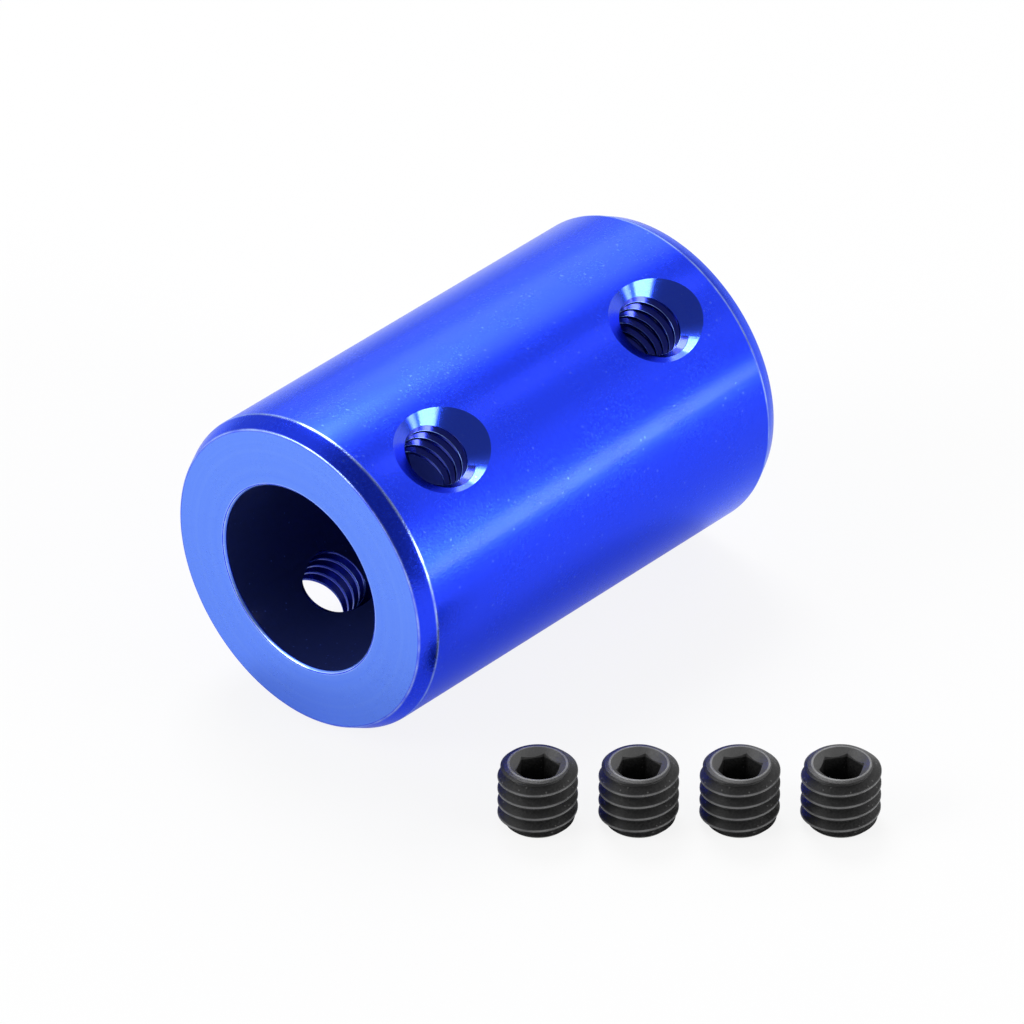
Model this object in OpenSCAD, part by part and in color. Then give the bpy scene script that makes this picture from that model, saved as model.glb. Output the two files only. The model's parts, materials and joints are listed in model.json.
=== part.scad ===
// Rigid shaft coupling: one turned aluminium piece with a stepped bore and
// four countersunk tapped holes, and the four socket set screws that belong
// in them, taken out and stood in a row beside it.
// The bore runs along X, and everything rests on a floor under it.

/* [Body] */
// Outside diameter
body_diameter = 17; // [15:0.5:22]
// Length from end face to end face
body_length = 26.3; // [24:0.1:34]
// Length of the chamfer round each end, along the bore
chamfer_length = 0.9; // [0.2:0.1:1.5]
// Depth of the chamfer round each end, towards the bore
chamfer_depth = 0.45; // [0.1:0.05:0.8]

/* [Bores] */
// Diameter of the bore at the front end
front_bore = 10; // [8:0.5:11]
// Diameter of the bore at the back end
back_bore = 6; // [4:0.5:8]
// Depth of the front bore, from the front face to the step
front_bore_depth = 13.15; // [10:0.05:15]
// Broken edge at the mouth of each bore
edge_break = 0.12; // [0.05:0.01:0.4]

/* [Tapped holes] */
// Thread diameter of the set screws and their holes
thread_diameter = 4; // [3:0.5:4.5]
// Thread pitch
thread_pitch = 0.7; // [0.5:0.05:0.8]
// Distance of the front pair of holes from the front face
hole_from_front = 5.5; // [4.5:0.1:7]
// Distance of the back pair of holes from the back face
hole_from_back = 5.1; // [4.5:0.1:7]
// Lean of the holes from straight up towards the front of the floor
hole_lean = 33; // [0:1:60]
// Diameter of the countersink, measured along the body
countersink_diameter = 5.7; // [5:0.1:6.5]
// Full angle of the countersink's cone
countersink_angle = 120; // [90:1:120]

/* [Set screws] */
// Length from the socket end to the cup end
screw_length = 3.4; // [3:0.1:5]
// Gap between a screw's crests and the full thread diameter
screw_clearance = 0.03; // [0.02:0.01:0.1]
// Width of the hexagon socket across its flats
socket_width = 2; // [1.5:0.1:2]
// Depth of the hexagon socket, down to the end of its flats
socket_depth = 1.8; // [1:0.1:2]
// Diameter of the sharp rim round the socket
socket_rim = 2.78; // [2.6:0.02:3]
// Full angle of the cone that leads into the socket
socket_lead_angle = 100; // [90:1:120]
// Turn of the hexagon about the screw
socket_turn = 26; // [0:1:60]
// Turn of the thread about the screw
thread_turn = 222; // [0:1:360]
// Width of the flat land round the socket's rim
rim_land = 0.05; // [0.03:0.01:0.1]
// Diameter of the crowned end, outside which it is chamfered
crown_diameter = 3.36; // [3.2:0.02:3.6]
// Height of the crown between the land and that diameter
crown_height = 0.06; // [0.02:0.01:0.15]
// Chamfer at the cup end
point_chamfer = 0.45; // [0.2:0.05:0.5]
// Diameter of the cup's rim
cup_diameter = 2; // [1.5:0.1:2.2]
// Full angle of the cup
cup_angle = 120; // [110:1:130]

/* [Row of screws] */
// Place along the bore of the first screw, from the middle of the floor
row_x = -11.46; // [-16:0.01:-6]
// Place across the bore of the first screw
row_y = -14.33; // [-20:0.01:-14]
// Distance between neighbouring screws
row_step = 4.93; // [4.6:0.01:7]
// Direction of the row, turned from the bore's direction towards the front
row_turn = 47.7; // [30:0.1:90]

/* [Hidden] */

// The origin lies on the bore's axis, at the step between the two bores.
body_radius = body_diameter / 2;
front_face = -front_bore_depth;
back_face = front_face + body_length;
front_hole_x = front_face + hole_from_front;
back_hole_x = back_face - hole_from_back;
floor_z = -body_radius;

// A tapped hole is cut at the minor diameter of its thread.
thread_height = thread_pitch * sqrt(3) / 2;
hole_radius = thread_diameter / 2 - thread_height * 5 / 8;
countersink_radius = countersink_diameter / 2;
countersink_slope = tan(countersink_angle / 2);

// External thread: flat crests of an eighth and flat roots of a quarter pitch.
crest_radius = thread_diameter / 2 - screw_clearance;
root_radius = crest_radius - thread_height * 17 / 24;
crest_half = thread_pitch / 16;
flank_slope = tan(30);
rim_radius = socket_rim / 2;
crown_radius = crown_diameter / 2;
point_radius = crest_radius - point_chamfer;

// How far a cutting shape reaches past the face that it cuts, and how far
// outside the crests the chamfers of a screw run on.
over = 1;
past_crests = 0.1;
facets = 96;
thread_steps = 24;

// Stands a shape that was drawn along Z along the bore instead.
module along_bore() {
    rotate([0, 90, 0]) children();
}

module turned_blank() {
    along_bore() rotate_extrude($fn = facets) polygon([
        [0, front_face],
        [body_radius - chamfer_depth, front_face],
        [body_radius, front_face + chamfer_length],
        [body_radius, back_face - chamfer_length],
        [body_radius - chamfer_depth, back_face],
        [0, back_face]
    ]);
}

module stepped_bore() {
    front_radius = front_bore / 2;
    back_radius = back_bore / 2;
    along_bore() rotate_extrude($fn = facets) polygon([
        [0, front_face - over],
        [front_radius + edge_break + over, front_face - over],
        [front_radius, front_face + edge_break],
        [front_radius, 0],
        [back_radius, 0],
        [back_radius, back_face - edge_break],
        [back_radius + edge_break + over, back_face + over],
        [0, back_face + over]
    ]);
}

// One tapped hole from the bore's axis outwards, with its countersink.
module tapped_hole() {
    cone_bottom = body_radius - (countersink_radius - hole_radius) / countersink_slope;
    cone_top = body_radius + over;
    cylinder(h = cone_top, r = hole_radius, $fn = facets);
    translate([0, 0, cone_bottom])
        cylinder(
            h = cone_top - cone_bottom,
            r1 = hole_radius,
            r2 = countersink_radius + over * countersink_slope,
            $fn = facets
        );
}

module coupling_body() {
    color("royalblue") difference() {
        turned_blank();
        stepped_bore();
        for (x = [front_hole_x, back_hole_x], side = [0, 180])
            translate([x, 0, 0]) rotate([hole_lean + side, 0, 0]) tapped_hole();
    }
}

// The helical ridge of a right-hand thread, sunk a little into the core.
module thread_ridge(length) {
    sunk = root_radius - thread_pitch / 8;
    sunk_half = crest_half + (crest_radius - sunk) * flank_slope;
    turns = length / thread_pitch + 2;
    last = ceil(turns * thread_steps);
    section = [
        [sunk, -sunk_half],
        [crest_radius, -crest_half],
        [crest_radius, crest_half],
        [sunk, sunk_half]
    ];
    corners = len(section);
    points = [
        for (i = [0:last], p = section)
            let (angle = 360 * i / thread_steps, rise = thread_pitch * (i / thread_steps - 1))
                [p[0] * cos(angle), p[0] * sin(angle), rise + p[1]]
    ];
    sides = [
        for (i = [0:last - 1], k = [0:corners - 1])
            let (a = i * corners + k, b = i * corners + (k + 1) % corners)
                each [[a, b, b + corners], [a, b + corners, a + corners]]
    ];
    start = [[for (k = [corners - 1:-1:0]) k]];
    end = [[for (k = [0:corners - 1]) last * corners + k]];
    polyhedron(points = points, faces = concat(sides, start, end), convexity = 12);
}

// What a screw is turned to before its thread is cut.
module screw_envelope() {
    outside = crest_radius + past_crests;
    crown_bottom = screw_length - crown_height;
    rotate_extrude($fn = facets) polygon([
        [0, 0],
        [point_radius, 0],
        [outside, outside - point_radius],
        [outside, crown_bottom - (outside - crown_radius)],
        [crown_radius, crown_bottom],
        [rim_radius + rim_land, screw_length],
        [0, screw_length]
    ]);
}

module threaded_blank() {
    intersection() {
        union() {
            cylinder(h = screw_length, r = root_radius, $fn = facets);
            rotate([0, 0, thread_turn]) thread_ridge(screw_length);
        }
        screw_envelope();
    }
}

// The hexagon socket, with a cone that leads into it and a drilled bottom.
module hexagon_socket() {
    corner_radius = socket_width / sqrt(3);
    lead_slope = tan(socket_lead_angle / 2);
    lead_depth = rim_radius / lead_slope;
    drill_depth = socket_width / 2 / tan(59);
    bottom = screw_length - socket_depth;
    rotate([0, 0, socket_turn]) translate([0, 0, bottom])
        cylinder(h = socket_depth + over, r = corner_radius, $fn = 6);
    translate([0, 0, screw_length - lead_depth])
        cylinder(h = lead_depth + over, r1 = 0, r2 = rim_radius + over * lead_slope, $fn = facets);
    translate([0, 0, bottom - drill_depth])
        cylinder(h = drill_depth, r1 = 0, r2 = socket_width / 2, $fn = facets);
}

module cup_point() {
    cup_slope = tan(cup_angle / 2);
    cup_depth = cup_diameter / 2 / cup_slope;
    translate([0, 0, -over])
        cylinder(h = cup_depth + over, r1 = cup_diameter / 2 + over * cup_slope, r2 = 0, $fn = facets);
}

// One set screw, standing on its cup end at its place in the row.
module set_screw(number) {
    along = (number - 1) * row_step;
    color("dimgray")
        translate([row_x + along * cos(row_turn), row_y - along * sin(row_turn), floor_z])
            difference() {
                threaded_blank();
                hexagon_socket();
                cup_point();
            }
}

coupling_body();
set_screw(1);  // set_screw_1
set_screw(2);  // set_screw_2
set_screw(3);  // set_screw_3
set_screw(4);  // set_screw_4
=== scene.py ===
"""The looks of a rigid shaft coupling and its four set screws.

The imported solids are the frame. The turned body gets its eased edges, its
countersinks and real helical threads, and each set screw its rounded thread,
hexagon socket and cup. Shapes are modelled in millimetres and shrunk to metres
when they are done.
"""

import json
import math

import bmesh
import bpy
from mathutils import Matrix, Vector


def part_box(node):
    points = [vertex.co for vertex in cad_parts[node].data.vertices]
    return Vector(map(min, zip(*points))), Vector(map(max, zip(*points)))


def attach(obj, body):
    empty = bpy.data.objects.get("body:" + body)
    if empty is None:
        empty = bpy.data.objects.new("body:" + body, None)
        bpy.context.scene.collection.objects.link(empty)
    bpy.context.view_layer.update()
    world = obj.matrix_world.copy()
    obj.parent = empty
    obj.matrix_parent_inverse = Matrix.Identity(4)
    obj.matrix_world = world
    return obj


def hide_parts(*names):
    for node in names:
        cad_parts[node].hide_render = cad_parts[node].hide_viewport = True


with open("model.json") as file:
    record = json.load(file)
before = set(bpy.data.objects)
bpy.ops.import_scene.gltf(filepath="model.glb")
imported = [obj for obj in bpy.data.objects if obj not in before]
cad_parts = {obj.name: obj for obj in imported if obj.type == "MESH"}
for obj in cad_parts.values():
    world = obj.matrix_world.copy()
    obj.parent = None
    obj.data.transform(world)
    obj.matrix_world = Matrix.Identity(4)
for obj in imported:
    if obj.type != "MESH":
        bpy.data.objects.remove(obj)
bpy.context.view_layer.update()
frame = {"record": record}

MM = 0.001

# Sizes in millimetres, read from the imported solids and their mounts.
mounts = {mount["name"]: mount for mount in frame["record"]["mounts"]}
body_low, body_high = (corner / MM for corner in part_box("coupling_body"))
body_radius = body_high.z
front_face = body_low.x
back_face = body_high.x
front_bore_radius = mounts["bore_front"]["dims"]["r_mm"]
back_bore_radius = mounts["bore_back"]["dims"]["r_mm"]
bore_step = mounts["bore_front"]["pos_m"][0] / MM
thread_minor_radius = mounts["set_screw_hole_front_upper"]["dims"]["r_mm"]

# Chamfers and eased edges of the body.
chamfer_length = 0.9
chamfer_depth = 0.45
edge_break = 0.12
chamfer_easing = 0.09
mouth_easing = 0.04

# The tapped holes and their thread.
thread_radius = 2.0
thread_pitch = 0.7
countersink_radius = 2.85
countersink_half_angle = math.radians(60)
tap_easing = 0.025

# The set screws.
screw_crest_radius = 1.97
screw_root_radius = 1.54
screw_length = 3.4
screw_thread_turn = math.radians(42)
screw_thread_easing = 0.015
crown_radius = 1.68
crown_height = 0.06
socket_rim_radius = 1.39
socket_rim_land = 0.05
socket_half_angle = math.radians(50)
socket_width = 2.0
socket_depth = 1.8
socket_turn = math.radians(26)
point_chamfer = 0.45
cup_radius = 1.0
cup_half_angle = math.radians(60)
screw_easing = 0.02
rim_easing = 0.01

# How far a cutting shape reaches past the face that it cuts, how far outside the
# crests a screw's chamfers run on, and how the drilled bottom of a socket meets its flats.
over = 0.5
past_crests = 0.1
drill_inset = 0.01
drill_overlap = 0.2

# How finely round shapes are stepped.
BODY_STEPS = 360
THREAD_STEPS = 72
SCREW_STEPS = 144
EASING_STEPS = 3
SHARP_ANGLE = math.radians(25)
TINY = 1e-5


def outline(corners):
    """The section that a round piece is turned from, as wire in the XZ plane.

    Each corner is (radius, height, easing), and easing is how far it is rounded.
    """
    bm = bmesh.new()
    for radius, height, _ in corners:
        bm.verts.new((radius, 0, height))
    section = list(bm.verts)
    bm.faces.new(section)
    for corner, (_, _, easing) in zip(section, corners):
        if easing:
            bmesh.ops.bevel(
                bm, geom=[corner], offset=easing, affect="VERTICES",
                segments=EASING_STEPS, profile=0.5, material=-1,
            )
    bmesh.ops.delete(bm, geom=bm.faces[:], context="FACES_ONLY")
    return bm


def closed_up(bm):
    """Merges what a sweep left double and turns every face outwards."""
    bmesh.ops.remove_doubles(bm, verts=bm.verts, dist=TINY)
    bmesh.ops.recalc_face_normals(bm, faces=bm.faces)
    return bm


def turned(corners, steps):
    """A solid turned about Z from the corners of its half section."""
    bm = outline(corners)
    on_axis = [e for e in bm.edges if all(v.co.x < TINY for v in e.verts)]
    bmesh.ops.delete(bm, geom=on_axis, context="EDGES")
    bmesh.ops.spin(
        bm, geom=bm.verts[:] + bm.edges[:], cent=(0, 0, 0), axis=(0, 0, 1),
        angle=math.tau, steps=steps, use_merge=True,
    )
    return closed_up(bm)


def threaded_rod(crest, root, crest_flat, easing, length, turn):
    """A rod along Z with a right-hand thread, swept from the section of one pitch."""
    flank = (crest - root) * math.tan(math.radians(30))
    root_flat = thread_pitch - crest_flat - 2 * flank
    bm = outline([
        (0, 0, 0),
        (root, 0, 0),
        (root, root_flat / 2, easing),
        (crest, root_flat / 2 + flank, easing),
        (crest, root_flat / 2 + flank + crest_flat, easing),
        (root, thread_pitch - root_flat / 2, easing),
        (root, thread_pitch, 0),
        (0, thread_pitch, 0),
    ])
    near_axis = [e for e in bm.edges if any(v.co.x < TINY for v in e.verts)]
    bmesh.ops.delete(bm, geom=near_axis, context="EDGES")
    loose = [v for v in bm.verts if not v.link_edges]
    bmesh.ops.delete(bm, geom=loose, context="VERTS")
    turns = math.ceil(length / thread_pitch) + 1
    bmesh.ops.spin(
        bm, geom=bm.verts[:] + bm.edges[:], cent=(0, 0, 0), axis=(0, 0, 1),
        dvec=(0, 0, thread_pitch / THREAD_STEPS),
        angle=math.tau * turns, steps=THREAD_STEPS * turns,
    )
    bmesh.ops.remove_doubles(bm, verts=bm.verts, dist=TINY)
    height = thread_pitch * (turns + 1)
    open_edges = [e for e in bm.edges if e.is_boundary]
    for tip, at_end in ((-thread_pitch, False), (height + thread_pitch, True)):
        loop = [e for e in open_edges if (e.verts[0].co.z > height / 2) == at_end]
        rim = bmesh.ops.extrude_edge_only(bm, edges=loop)["geom"]
        spread = [v for v in rim if isinstance(v, bmesh.types.BMVert)]
        bmesh.ops.pointmerge(bm, verts=spread, merge_co=(0, 0, tip))
    bmesh.ops.rotate(bm, verts=bm.verts, matrix=Matrix.Rotation(turn, 3, "Z"))
    return closed_up(bm)


def as_object(name, *shapes, finish=None):
    """One object from one or more shapes, with their finish."""
    mesh = bpy.data.meshes.new(name)
    whole = bmesh.new()
    for shape in shapes:
        shape.to_mesh(mesh)
        whole.from_mesh(mesh)
        shape.free()
    whole.to_mesh(mesh)
    whole.free()
    if finish:
        mesh.materials.append(finish)
    made = bpy.data.objects.new(name, mesh)
    bpy.context.scene.collection.objects.link(made)
    return made


def carve(piece, cutter, operation="DIFFERENCE"):
    """Cuts a piece by another shape for good, and removes that shape."""
    cut = piece.modifiers.new("carve", "BOOLEAN")
    cut.operation = operation
    cut.solver = "EXACT"
    cut.material_mode = "TRANSFER"
    cut.object = cutter
    shapes = bpy.context.evaluated_depsgraph_get()
    carved = bpy.data.meshes.new_from_object(piece.evaluated_get(shapes))
    piece.modifiers.clear()
    piece.data = carved
    bpy.data.objects.remove(cutter)


def settle(piece, cad_node):
    """Shrinks a done piece to metres and lets it stand for its CAD node."""
    mesh = piece.data
    mesh.transform(Matrix.Scale(MM, 4))
    mesh.shade_smooth()
    mesh.set_sharp_from_angle(angle=SHARP_ANGLE)
    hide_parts(cad_node)
    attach(piece, "root")


# Nodes and materials

def node(tree, kind, inputs=None, **settings):
    """Adds a shader node. An input that is a socket is linked, another is set."""
    made = tree.nodes.new(kind)
    for name, value in settings.items():
        setattr(made, name, value)
    for name, value in (inputs or {}).items():
        if isinstance(value, bpy.types.NodeSocket):
            tree.links.new(value, made.inputs[name])
        else:
            made.inputs[name].default_value = value
    return made


def maths(tree, operation, *values, clamp=False):
    """A Math node's result."""
    inputs = dict(enumerate(values))
    made = node(tree, "ShaderNodeMath", inputs, operation=operation, use_clamp=clamp)
    return made.outputs[0]


def distance(tree, across, up):
    """How far from zero two coordinates lie together."""
    squares = [maths(tree, "POWER", part, 2.0) for part in (across, up)]
    return maths(tree, "SQRT", maths(tree, "ADD", *squares))


def mapped(tree, value, low, high, bottom=0.0, top=1.0, **settings):
    """A value taken from the range low to high to the range bottom to top, and held there."""
    inputs = {"Value": value, "From Min": low, "From Max": high, "To Min": bottom, "To Max": top}
    return node(tree, "ShaderNodeMapRange", inputs, **settings).outputs["Result"]


def noise(tree, place, per_mm, detail, roughness=0.5):
    """A cloudy value round one half that changes over the surface."""
    inputs = {"Vector": place, "Scale": per_mm, "Detail": detail, "Roughness": roughness}
    return node(tree, "ShaderNodeTexNoise", inputs).outputs["Fac"]


def group(name, inputs, outputs):
    """An empty node group with named sockets, and its input and output nodes."""
    tree = bpy.data.node_groups.new(name, "ShaderNodeTree")
    for label, (kind, value) in inputs.items():
        socket = tree.interface.new_socket(label, in_out="INPUT", socket_type=kind)
        if value is not None:
            socket.default_value = value
    for label, kind in outputs.items():
        tree.interface.new_socket(label, in_out="OUTPUT", socket_type=kind)
    given = tree.nodes.new("NodeGroupInput").outputs
    result = tree.nodes.new("NodeGroupOutput").inputs
    return tree, given, result


def place_group(tree, made, inputs):
    """A group placed in a material with its own values."""
    placed = tree.nodes.new("ShaderNodeGroup")
    placed.node_tree = made
    for name, value in inputs.items():
        if isinstance(value, bpy.types.NodeSocket):
            tree.links.new(value, placed.inputs[name])
        else:
            placed.inputs[name].default_value = value
    return placed.outputs


def round_place(tree, place):
    """Distance along the bore and radius from it, of a place in millimetres."""
    parts = node(tree, "ShaderNodeSeparateXYZ", {"Vector": place}).outputs
    return parts["X"], distance(tree, parts["Y"], parts["Z"])


def lathe_rings_group():
    """Fine rings that a turning tool leaves, round the bore's axis."""
    tree, given, result = group(
        "lathe rings",
        {"Place": ("NodeSocketVector", None), "Rings per mm": ("NodeSocketFloat", 6.0)},
        {"Rings": "NodeSocketFloat"},
    )
    along, radius = round_place(tree, given["Place"])
    path = maths(tree, "MULTIPLY", maths(tree, "ADD", along, radius), given["Rings per mm"])
    rings = node(
        tree, "ShaderNodeTexNoise", {"W": path, "Scale": 1.0, "Detail": 3.0, "Roughness": 0.6},
        noise_dimensions="1D",
    ).outputs["Fac"]
    tree.links.new(rings, result["Rings"])
    return tree


def grain_group():
    """The fine grain of an etched and dyed surface, with a few bright specks, and stretches that break
    up the pale edges, which are partly wear and partly painted highlight.
    """
    patches_per_mm = 0.35
    patch_strength = (1.0, 3.2)
    speck_size = 0.4
    streaks_per_mm = 1.1
    least_wear_and_glint = 0.3
    tree, given, result = group(
        "dyed grain",
        {
            "Place": ("NodeSocketVector", None),
            "Grains per mm": ("NodeSocketFloat", 9.0),
            "Speck share": ("NodeSocketFloat", 0.3),
        },
        {"Grain": "NodeSocketFloat", "Specks": "NodeSocketFloat", "Wear": "NodeSocketFloat"},
    )
    place = given["Place"]
    fine = noise(tree, place, given["Grains per mm"], detail=4.0, roughness=0.65)
    patches = noise(tree, place, patches_per_mm, detail=2.0)
    strength = mapped(tree, patches, 0.35, 0.65, *patch_strength)
    centred = maths(tree, "MULTIPLY", maths(tree, "SUBTRACT", fine, 0.5), strength)
    grain = maths(tree, "ADD", centred, 0.5, clamp=True)
    cells_per_mm = maths(tree, "MULTIPLY", given["Grains per mm"], 0.5)
    cells = node(tree, "ShaderNodeTexVoronoi", {"Vector": place, "Scale": cells_per_mm})
    reach = maths(tree, "MULTIPLY", fine, speck_size)
    near = maths(tree, "LESS_THAN", cells.outputs["Distance"], reach)
    chosen = node(tree, "ShaderNodeSeparateColor", {"Color": cells.outputs["Color"]}).outputs["Red"]
    few = maths(tree, "LESS_THAN", chosen, given["Speck share"])
    # Stretches where the pale edges show, partly as wear and partly as a painted highlight.
    streaks = noise(tree, place, streaks_per_mm, detail=3.0)
    wear_and_glint = mapped(tree, streaks, 0.3, 0.7, least_wear_and_glint)
    tree.links.new(grain, result["Grain"])
    tree.links.new(maths(tree, "MULTIPLY", near, few), result["Specks"])
    tree.links.new(wear_and_glint, result["Wear"])
    return tree


def edge_ring_group():
    """How near a place lies to a sharp ring round the bore's axis, from 1 on it to 0."""
    tree, given, result = group(
        "edge ring",
        {
            "Place": ("NodeSocketVector", None),
            "Along": ("NodeSocketFloat", 0.0),
            "Radius": ("NodeSocketFloat", 1.0),
            "Width": ("NodeSocketFloat", 0.1),
        },
        {"Edge": "NodeSocketFloat"},
    )
    along, radius = round_place(tree, given["Place"])
    aside = maths(tree, "SUBTRACT", along, given["Along"])
    outwards = maths(tree, "SUBTRACT", radius, given["Radius"])
    off = distance(tree, aside, outwards)
    edge = maths(tree, "SUBTRACT", 1.0, maths(tree, "DIVIDE", off, given["Width"]), clamp=True)
    tree.links.new(edge, result["Edge"])
    return tree


LATHE_RINGS = lathe_rings_group()
DYED_GRAIN = grain_group()
EDGE_RING = edge_ring_group()


def new_material(name):
    """A material with an empty tree but for its shader and its output."""
    material = bpy.data.materials.new(name)
    material.use_nodes = True
    tree = material.node_tree
    tree.nodes.clear()
    shader = tree.nodes.new("ShaderNodeBsdfPrincipled")
    output = tree.nodes.new("ShaderNodeOutputMaterial")
    tree.links.new(shader.outputs["BSDF"], output.inputs["Surface"])
    return material, tree, shader


def place_in_mm(tree):
    """Object coordinates in millimetres."""
    place = node(tree, "ShaderNodeTexCoord").outputs["Object"]
    return node(tree, "ShaderNodeVectorMath", {0: place, "Scale": 1 / MM}, operation="SCALE").outputs[0]


def blend_colour(tree, share, first, second):
    """The first colour where share is 0, the second where it is 1."""
    mixed = node(tree, "ShaderNodeMix", {"Factor": share}, data_type="RGBA")
    for socket, value in ((mixed.inputs[6], first), (mixed.inputs[7], second)):
        if isinstance(value, bpy.types.NodeSocket):
            tree.links.new(value, socket)
        else:
            socket.default_value = (*value, 1.0)
    return mixed.outputs[2]


def blend_value(tree, share, first, second):
    """The first value where share is 0, the second where it is 1."""
    return mapped(tree, share, 0.0, 1.0, first, second)


def raise_surface(tree, shader, height):
    """Bumps a surface by a height in millimetres."""
    bump = node(tree, "ShaderNodeBump", {"Height": height, "Distance": MM, "Strength": 1.0})
    tree.links.new(bump.outputs["Normal"], shader.inputs["Normal"])


# The anodised finishes: bright specks, pale edges that are partly wear and partly painted highlight,
# and the tint at grazing angles.
SPECK_BLUE = (0.12, 0.22, 1.0)
SPECK_STRENGTH = 0.35
# The pale blue of the edge rings: partly wear, partly a painted highlight.
WORN_AND_GLINT_BLUE = (0.55, 0.75, 1.0)
GRAZING_BLUE = (0.6, 0.75, 1.0, 1.0)
COAT_ROUGHNESS = 0.12
ROUGHNESS_SPREAD = 0.15


def anodised(
        name, deep, light, roughness, ring_depth, rings_per_mm,
        edges=(), metallic=1.0, coat=0.15, speck_share=0.12, grains_per_mm=9.0, grain_depth=0.0025,
        ring_share=0.25,
):
    """Dyed anodised aluminium: metal under a clear layer, with turning marks and grain.

    The colour lies between deep and light, and ring_share is how much of that the
    rings decide. Depths are in millimetres. Each edge is a place along the bore, a
    radius, a width and how strongly it is painted pale, partly as wear and partly as a painted
    highlight.
    """
    material, tree, shader = new_material(name)
    place = place_in_mm(tree)
    rings = place_group(tree, LATHE_RINGS, {"Place": place, "Rings per mm": rings_per_mm})["Rings"]
    grain = place_group(tree, DYED_GRAIN, {
        "Place": place,
        "Grains per mm": grains_per_mm,
        "Speck share": speck_share,
    })
    tone = blend_value(tree, ring_share, grain["Grain"], rings)
    colour = blend_colour(tree, tone, deep, light)
    specks = maths(tree, "MULTIPLY", grain["Specks"], SPECK_STRENGTH)
    colour = blend_colour(tree, specks, colour, SPECK_BLUE)
    # Each edge ring is painted pale: partly wear, partly a painted highlight of the eased edge.
    for along, radius, width, strength in edges:
        ring = {"Place": place, "Along": along, "Radius": radius, "Width": width}
        edge = place_group(tree, EDGE_RING, ring)["Edge"]
        edge = maths(tree, "MULTIPLY", edge, grain["Wear"])
        worn_and_glint = maths(tree, "MULTIPLY", edge, strength, clamp=True)
        colour = blend_colour(tree, worn_and_glint, colour, WORN_AND_GLINT_BLUE)
    tree.links.new(colour, shader.inputs["Base Color"])
    smoothest = roughness * (1 - ROUGHNESS_SPREAD)
    roughest = roughness * (1 + ROUGHNESS_SPREAD)
    rough = blend_value(tree, grain["Grain"], smoothest, roughest)
    tree.links.new(rough, shader.inputs["Roughness"])
    shader.inputs["Metallic"].default_value = metallic
    shader.inputs["Specular Tint"].default_value = GRAZING_BLUE
    shader.inputs["Coat Weight"].default_value = coat
    shader.inputs["Coat Roughness"].default_value = COAT_ROUGHNESS
    shader.inputs["Coat IOR"].default_value = 1.5
    turned_height = maths(tree, "MULTIPLY", rings, ring_depth)
    grain_height = maths(tree, "MULTIPLY", grain["Grain"], grain_depth)
    raise_surface(tree, shader, maths(tree, "ADD", turned_height, grain_height))
    return material


# Sharp edges painted pale, partly as wear and partly as a painted highlight along the eased edges:
# place along the bore, radius, width, strength.
OUTER_EDGES = (
    (front_face + chamfer_length, body_radius, 0.1, 0.85),
    (front_face, body_radius - chamfer_depth, 0.1, 0.85),
    (back_face - chamfer_length, body_radius, 0.1, 0.85),
    (back_face, body_radius - chamfer_depth, 0.1, 0.85),
)
MOUTH_EDGES = (
    (front_face, front_bore_radius + edge_break, 0.1, 1.4),
    (back_face, back_bore_radius + edge_break, 0.1, 1.0),
)

BLUE_OUTSIDE = anodised(
    "blue anodised outside", (0.010, 0.038, 0.88), (0.019, 0.062, 1.0), 0.25,
    ring_depth=0.0006, rings_per_mm=5.0, edges=OUTER_EDGES, grains_per_mm=6.5, grain_depth=0.004,
)
# The end faces and bore mouths: the same anodised blue painted much paler, painted light for the bright
# floor that they reflect.
BLUE_END_FACE_PAINTED_LIGHT = anodised(
    "blue anodised end face", (0.11, 0.245, 1.0), (0.16, 0.315, 1.0), 0.3,
    ring_depth=0.001, rings_per_mm=3.0, edges=MOUTH_EDGES, speck_share=0.04, grain_depth=0.001,
    ring_share=0.6,
)
# The bore: the same anodised blue painted near black, painted shade for the dark inside of the bore.
BLUE_BORE_PAINTED_SHADE = anodised(
    "blue anodised bore", (0.02, 0.033, 0.17), (0.028, 0.045, 0.22), 0.45,
    ring_depth=0.0015, rings_per_mm=6.0, metallic=0.6, coat=0.3, speck_share=0.1,
)
# The step at the bottom of the front bore: painted paler than the bore, painted light that comes in
# from the bore's open end.
BLUE_STEP_PAINTED_LIGHT = anodised(
    "blue anodised bore step", (0.06, 0.1, 0.75), (0.1, 0.16, 0.9), 0.5,
    ring_depth=0.001, rings_per_mm=4.0, metallic=0.3, coat=0.3, speck_share=0.05,
)
BLUE_COUNTERSINK = anodised(
    "blue anodised countersink", (0.006, 0.055, 0.97), (0.016, 0.09, 1.0), 0.16,
    ring_depth=0.0004, rings_per_mm=4.0, coat=0.9, speck_share=0.05, grain_depth=0.001,
)
# The tapped threads: the same anodised blue painted dark, painted shade for the inside of the holes.
BLUE_THREAD_PAINTED_SHADE = anodised(
    "blue anodised thread", (0.003, 0.012, 0.28), (0.008, 0.024, 0.4), 0.17,
    ring_depth=0.0004, rings_per_mm=4.0, coat=0.6, speck_share=0.05, grain_depth=0.001,
)
# The thread crests: painted pale, a painted highlight along each crest.
BLUE_CREST_PAINTED_HIGHLIGHT = anodised(
    "blue anodised thread crest", (0.2, 0.36, 1.0), (0.34, 0.52, 1.0), 0.3,
    ring_depth=0.0004, rings_per_mm=4.0, coat=0.0, speck_share=0.05, grain_depth=0.001,
)


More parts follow.
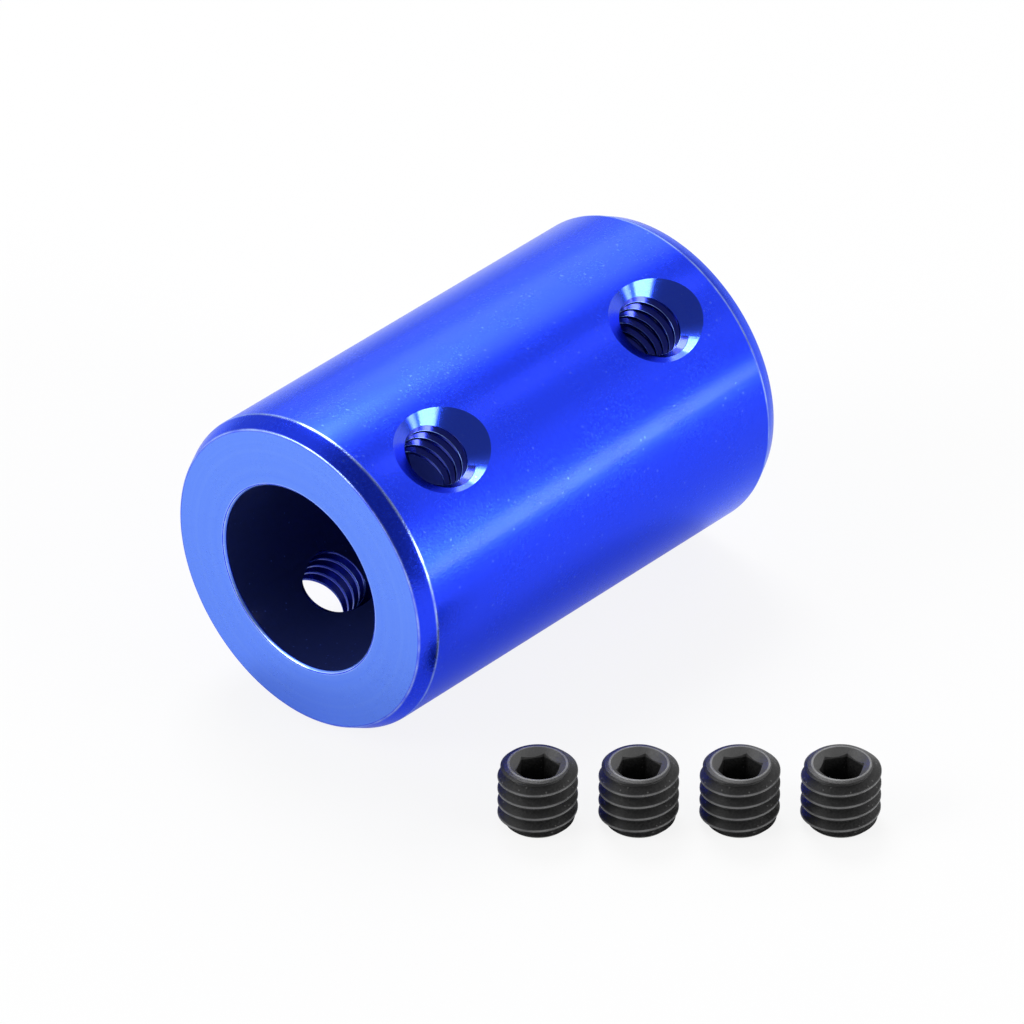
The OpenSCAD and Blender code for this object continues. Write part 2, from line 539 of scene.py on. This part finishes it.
def black_oxide():
    """Blackened steel, paler on the thread's crests and the socket's rim, partly as rubbed wear and
    partly as a painted highlight, and paler on the cone that leads into the socket as painted light.
    """
    crest_width = 0.05
    crest_strength = 0.45
    rim_width = 0.012
    rim_strength = 0.5
    lead_height = 0.4
    lead_painted_light = 0.28
    speck_strength = 0.5
    least_rub = 0.2
    material, tree, shader = new_material("black oxide steel")
    own = node(
        tree, "ShaderNodeAttribute", attribute_name="own_place", attribute_type="GEOMETRY",
    ).outputs["Vector"]
    parts = node(tree, "ShaderNodeSeparateXYZ", {"Vector": own}).outputs
    radius = distance(tree, parts["X"], parts["Y"])
    grain = place_group(tree, DYED_GRAIN, {"Place": own, "Grains per mm": 9.0, "Speck share": 0.25})
    # The cone that leads into the socket is painted paler: painted light where it catches the lamps.
    inside_rim = maths(tree, "LESS_THAN", radius, socket_rim_radius + 0.005)
    near_top = maths(tree, "GREATER_THAN", parts["Z"], screw_length - lead_height)
    lit_lead_cone = maths(tree, "MULTIPLY", inside_rim, near_top)
    lead = maths(tree, "MULTIPLY", lit_lead_cone, lead_painted_light)
    # Crests and rim painted pale: partly rubbed wear, partly a painted highlight.
    crest = mapped(tree, radius, screw_crest_radius - crest_width, screw_crest_radius)
    crest = maths(tree, "MULTIPLY", crest, crest_strength)
    rim = maths(tree, "GREATER_THAN", parts["Z"], screw_length - rim_width)
    rim = maths(tree, "MULTIPLY", rim, rim_strength)
    wear_and_glint = maths(tree, "ADD", maths(tree, "MULTIPLY", grain["Wear"], 1 - least_rub), least_rub)
    rubbed_and_glinting = maths(tree, "MULTIPLY", maths(tree, "MAXIMUM", crest, rim), wear_and_glint)
    colour = blend_colour(tree, grain["Grain"], (0.006, 0.006, 0.006), (0.028, 0.028, 0.0285))
    specks = maths(tree, "MULTIPLY", grain["Specks"], speck_strength)
    colour = blend_colour(tree, specks, colour, (0.12, 0.12, 0.12))
    # Painted light on the lead-in cone.
    colour = blend_colour(tree, lead, colour, (0.2, 0.2, 0.2))
    colour = blend_colour(tree, rubbed_and_glinting, colour, (0.3, 0.3, 0.305))
    tree.links.new(colour, shader.inputs["Base Color"])
    tree.links.new(blend_value(tree, grain["Grain"], 0.32, 0.42), shader.inputs["Roughness"])
    shader.inputs["Specular IOR Level"].default_value = 0.28
    raise_surface(tree, shader, maths(tree, "MULTIPLY", grain["Grain"], 0.006))
    return material


BLACK_OXIDE = black_oxide()


# The coupling's body

def body_blank():
    """The turned body with its stepped bore, along X, with a finish on each surface: the end faces and
    mouths painted paler as painted light, the bore painted dark as painted shade, and the step painted
    paler as painted light.
    """
    half_section = [
        (front_bore_radius + edge_break, front_face, mouth_easing),
        (body_radius - chamfer_depth, front_face, chamfer_easing),
        (body_radius, front_face + chamfer_length, chamfer_easing),
        (body_radius, back_face - chamfer_length, chamfer_easing),
        (body_radius - chamfer_depth, back_face, chamfer_easing),
        (back_bore_radius + edge_break, back_face, mouth_easing),
        (back_bore_radius, back_face - edge_break, mouth_easing),
        (back_bore_radius, bore_step, mouth_easing),
        (front_bore_radius, bore_step, 0),
        (front_bore_radius, front_face + edge_break, mouth_easing),
    ]
    blank = turned(half_section, BODY_STEPS)
    for face in blank.faces:
        middle = face.calc_center_median()
        radius = math.hypot(middle.x, middle.y)
        upright = abs(face.normal.z) > 0.99
        end_face = upright and abs(middle.z) > back_face / 2
        mouth = middle.z < front_face + edge_break and radius < front_bore_radius + edge_break
        if end_face or mouth:
            face.material_index = 1
        elif upright and abs(middle.z - bore_step) < TINY:
            face.material_index = 3
        elif radius < front_bore_radius + TINY:
            face.material_index = 2
    bmesh.ops.rotate(blank, verts=blank.verts, matrix=Matrix.Rotation(math.pi / 2, 3, "Y"))
    body = as_object("turned_body", blank, finish=BLUE_OUTSIDE)
    for finish in (BLUE_END_FACE_PAINTED_LIGHT, BLUE_BORE_PAINTED_SHADE, BLUE_STEP_PAINTED_LIGHT):
        body.data.materials.append(finish)
    return body


def hole_place(mount_name):
    """Turns and moves a shape along Z onto the axis of one tapped hole."""
    mount = mounts[mount_name]
    axis = Vector(mount["axis"])
    lean = math.atan2(-axis.y, axis.z)
    return Matrix.Translation((mount["pos_m"][0] / MM, 0, 0)) @ Matrix.Rotation(lean, 4, "X")


def countersink_cutter(mount_name):
    """The cone that breaks the outer end of a tapped hole."""
    slope = math.tan(countersink_half_angle)
    depth = countersink_radius / slope
    cone = turned([
        (0, body_radius - depth, 0),
        (countersink_radius + over * slope, body_radius + over, 0),
        (0, body_radius + over, 0),
    ], SCREW_STEPS)
    cone.transform(hole_place(mount_name))
    return cone


def tap_cutter(mount_name):
    """What a tap takes out between the bore and the outside."""
    inner_end = back_bore_radius / 2
    rod = threaded_rod(
        thread_radius, thread_minor_radius, thread_pitch / 8, tap_easing,
        body_radius - inner_end, 0,
    )
    bmesh.ops.translate(rod, verts=rod.verts, vec=(0, 0, inner_end - thread_pitch))
    for face in rod.faces:
        middle = face.calc_center_median()
        off_minor = math.hypot(middle.x, middle.y) - thread_minor_radius
        # Faces on the rounded crests take the pale crest finish, a painted highlight.
        face.material_index = int(0.001 < off_minor < tap_easing)
    rod.transform(hole_place(mount_name))
    return rod


def coupling_body():
    """The whole body: turned, countersunk and tapped from both sides."""
    body = body_blank()
    holes = [name for name in mounts if name.startswith("set_screw_hole")]
    carve(body, as_object("countersinks", *map(countersink_cutter, holes), finish=BLUE_COUNTERSINK))
    cutters = as_object("taps", *map(tap_cutter, holes), finish=BLUE_THREAD_PAINTED_SHADE)
    cutters.data.materials.append(BLUE_CREST_PAINTED_HIGHLIGHT)
    carve(body, cutters)
    settle(body, "coupling_body")


# The set screws

def hexagon_socket():
    """The hexagon hole with the cone that leads into it and its drilled bottom."""
    slope = math.tan(socket_half_angle)
    corner_radius = socket_width / math.sqrt(3)
    drill_depth = socket_width / 2 / math.tan(math.radians(59))
    bottom = screw_length - socket_depth
    first_corner = math.radians(90)
    height = socket_depth + over
    upright = Matrix.Translation((0, 0, bottom + height / 2))
    hexagon = bmesh.new()
    bmesh.ops.create_cone(
        hexagon, cap_ends=True, segments=6, radius1=corner_radius, radius2=corner_radius,
        depth=height, matrix=Matrix.Rotation(socket_turn - first_corner, 4, "Z") @ upright,
    )
    lead = turned([
        (0, screw_length - socket_rim_radius / slope, 0),
        (socket_rim_radius + over * slope, screw_length + over, 0),
        (0, screw_length + over, 0),
    ], SCREW_STEPS)
    drill = turned([
        (0, bottom - drill_depth, 0),
        (socket_width / 2 - drill_inset, bottom, 0),
        (socket_width / 2 - drill_inset, bottom + drill_overlap, 0),
        (0, bottom + drill_overlap, 0),
    ], SCREW_STEPS)
    return hexagon, lead, drill


def set_screw_blank():
    """One set screw standing on its cup at the origin."""
    rod = threaded_rod(
        screw_crest_radius, screw_root_radius, thread_pitch / 8, screw_thread_easing,
        screw_length + thread_pitch, screw_thread_turn,
    )
    bmesh.ops.translate(rod, verts=rod.verts, vec=(0, 0, -thread_pitch))
    outside = screw_crest_radius + past_crests
    crown_bottom = screw_length - crown_height
    envelope = turned([
        (0, 0, 0),
        (screw_crest_radius - point_chamfer, 0, screw_easing),
        (outside, point_chamfer + past_crests, 0),
        (outside, crown_bottom - (outside - crown_radius), 0),
        (crown_radius, crown_bottom, screw_easing),
        (socket_rim_radius + socket_rim_land, screw_length, rim_easing),
        (0, screw_length, 0),
    ], SCREW_STEPS)
    screw = as_object("set_screw", rod, finish=BLACK_OXIDE)
    carve(screw, as_object("screw_envelope", envelope, finish=BLACK_OXIDE), "INTERSECT")
    for shape in hexagon_socket():
        carve(screw, as_object("socket_cutter", shape, finish=BLACK_OXIDE))
    cup = turned([
        (0, cup_radius / math.tan(cup_half_angle), 0),
        (0, -over, 0),
        (cup_radius + over * math.tan(cup_half_angle), -over, 0),
    ], SCREW_STEPS)
    carve(screw, as_object("cup_cutter", cup, finish=BLACK_OXIDE))
    own = screw.data.attributes.new("own_place", "FLOAT_VECTOR", "POINT")
    for vertex, value in zip(screw.data.vertices, own.data):
        value.vector = vertex.co
    return screw


def set_screws():
    """The four set screws, each on the place of its CAD node."""
    blank = set_screw_blank()
    for number in range(1, 5):
        name = f"set_screw_{number}"
        low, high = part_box(name)
        place = Vector(((low.x + high.x) / 2, (low.y + high.y) / 2, low.z)) / MM
        screw = bpy.data.objects.new(f"threaded_screw_{number}", blank.data.copy())
        bpy.context.scene.collection.objects.link(screw)
        screw.data.transform(Matrix.Translation(place))
        settle(screw, name)
    bpy.data.objects.remove(blank)


# The floor, the light and the camera

WHITE = (1.0, 1.0, 1.0, 1.0)
FLOOR_GREY = (0.7, 0.7, 0.7, 1.0)
FLOOR_REACH = 4.0

# How much of the floor shows plain white, seen straight and in reflections.
FLOOR_WHITE_SEEN = 0.87
FLOOR_WHITE_REFLECTED = 0.25


def floor():
    """A plain pale floor that shows white and keeps a soft shadow."""
    bm = bmesh.new()
    level = Matrix.Translation((0, 0, body_low.z * MM))
    bmesh.ops.create_grid(bm, x_segments=1, y_segments=1, size=FLOOR_REACH, matrix=level)
    sheet = as_object("floor", bm)
    material = bpy.data.materials.new("pale floor")
    material.use_nodes = True
    tree = material.node_tree
    tree.nodes.clear()
    plain = node(tree, "ShaderNodeBsdfDiffuse", {"Color": FLOOR_GREY}).outputs[0]
    white = node(tree, "ShaderNodeEmission", {"Color": WHITE, "Strength": 1.0}).outputs[0]
    path = node(tree, "ShaderNodeLightPath").outputs
    straight = maths(tree, "ADD", path["Is Camera Ray"], path["Is Transmission Ray"])
    seen = maths(tree, "MULTIPLY", straight, FLOOR_WHITE_SEEN)
    reflected = maths(tree, "MULTIPLY", path["Is Glossy Ray"], FLOOR_WHITE_REFLECTED)
    share = maths(tree, "ADD", seen, reflected, clamp=True)
    mixed = node(tree, "ShaderNodeMixShader", {0: share, 1: plain, 2: white}).outputs[0]
    output = tree.nodes.new("ShaderNodeOutputMaterial")
    tree.links.new(mixed, output.inputs["Surface"])
    sheet.data.materials.append(material)


# How far off the lamps stand, and each lamp's name, direction, width, height and brightness.
LAMP_DISTANCE = 0.7
LAMPS = (
    ("back lamp", (0.30, 0.45, 0.84), 0.27, 0.27, 11.0),
    ("right lamp", (0.248, -0.93, 0.276), 0.3, 0.27, 10.5),
    ("left lamp", (-0.78, 0.40, 0.48), 0.4, 0.3, 5.5),
)


def lamp(name, direction, width, height, brightness):
    """A soft lamp that looks at the object; brightness is its radiance."""
    light = bpy.data.lights.new(name, "AREA")
    light.shape = "RECTANGLE"
    light.size = width
    light.size_y = height
    light.energy = brightness * math.pi * width * height
    made = bpy.data.objects.new(name, light)
    bpy.context.scene.collection.objects.link(made)
    towards = Vector(direction).normalized()
    made.location = towards * LAMP_DISTANCE
    made.rotation_euler = towards.to_track_quat("Z", "Y").to_euler()
    made.visible_camera = False


def lobe(tree, way, direction, core, edge):
    """A soft round patch of the room: 1 within core degrees of a direction, 0 beyond edge."""
    towards = tuple(Vector(direction).normalized())
    near = node(
        tree, "ShaderNodeVectorMath", {0: way, 1: towards}, operation="DOT_PRODUCT",
    ).outputs["Value"]
    faded, full = (math.cos(math.radians(angle)) for angle in (edge, core))
    return mapped(tree, near, faded, full, interpolation_type="SMOOTHSTEP")


# The soft lights of the room: direction, bright core and faded edge in degrees, brightness.
SOFT_LIGHTS = (
    ((0.613, 0.697, 0.371), 8, 18, 0.7),
    ((0.613, 0.50, 0.612), 9, 21, 1.6),
    ((0.613, -0.151, 0.775), 3, 8, 0.9),
    ((0.75, -0.05, 0.66), 20, 42, 0.45),
    ((0.70, -0.45, 0.55), 12, 30, 0.2),
    ((0.613, -0.698, 0.371), 8, 20, 0.5),
    ((0.613, -0.79, 0.02), 5, 10, 8.0),
    ((-0.8, 0.5, 0.3), 15, 45, 0.8),
)

# The walls of the room, dim in front of the object and pale behind it, and the bright
# band along its horizon: how far back or up each begins and ends, and how bright it is there.
WALLS = (0.1, 0.45, 0.22, 0.62)
HORIZON = (0.03, 0.09, 1.0, 0.0)


def studio():
    """A room that is pale behind the object and dimmer in front, with soft lights in it."""
    world = bpy.data.worlds.new("pale studio")
    bpy.context.scene.world = world
    world.use_nodes = True
    tree = world.node_tree
    tree.nodes.clear()
    way = node(tree, "ShaderNodeTexCoord").outputs["Generated"]
    parts = node(tree, "ShaderNodeSeparateXYZ", {"Vector": way}).outputs
    walls = mapped(tree, parts["Y"], *WALLS, interpolation_type="SMOOTHSTEP")
    horizon = mapped(tree, parts["Z"], *HORIZON, interpolation_type="SMOOTHSTEP")
    level = maths(tree, "MAXIMUM", walls, horizon)
    for direction, core, edge, brightness in SOFT_LIGHTS:
        light = lobe(tree, way, direction, core, edge)
        level = maths(tree, "ADD", level, maths(tree, "MULTIPLY", light, brightness))
    background = node(tree, "ShaderNodeBackground", {"Color": WHITE, "Strength": level})
    output = tree.nodes.new("ShaderNodeOutputWorld")
    tree.links.new(background.outputs[0], output.inputs["Surface"])
    for settings in LAMPS:
        lamp(*settings)


# The photograph's viewing angle: how far the camera stands to the left of straight
# in front, how high it looks down from, what it aims at and how long its lens is.
CAMERA_LEFT = math.radians(47.73)
CAMERA_UP = math.radians(34.0)
CAMERA_DISTANCE = 518.9 * MM
CAMERA_AIM = Vector((0.22, -2.02, -1.77)) * MM
CAMERA_LENS = 365.9
camera_way = Vector((
    -math.cos(CAMERA_UP) * math.sin(CAMERA_LEFT),
    -math.cos(CAMERA_UP) * math.cos(CAMERA_LEFT),
    math.sin(CAMERA_UP),
))


def camera():
    """The camera at the photograph's viewing angle."""
    view = bpy.data.cameras.new("camera")
    view.lens = CAMERA_LENS
    view.sensor_width = 36
    view.clip_start = 0.01
    made = bpy.data.objects.new("camera", view)
    bpy.context.scene.collection.objects.link(made)
    made.location = CAMERA_AIM + camera_way * CAMERA_DISTANCE
    made.rotation_euler = camera_way.to_track_quat("Z", "Y").to_euler()
    bpy.context.scene.camera = made


camera()
coupling_body()
set_screws()
floor()
studio()
bpy.context.scene.view_settings.view_transform = "Standard"
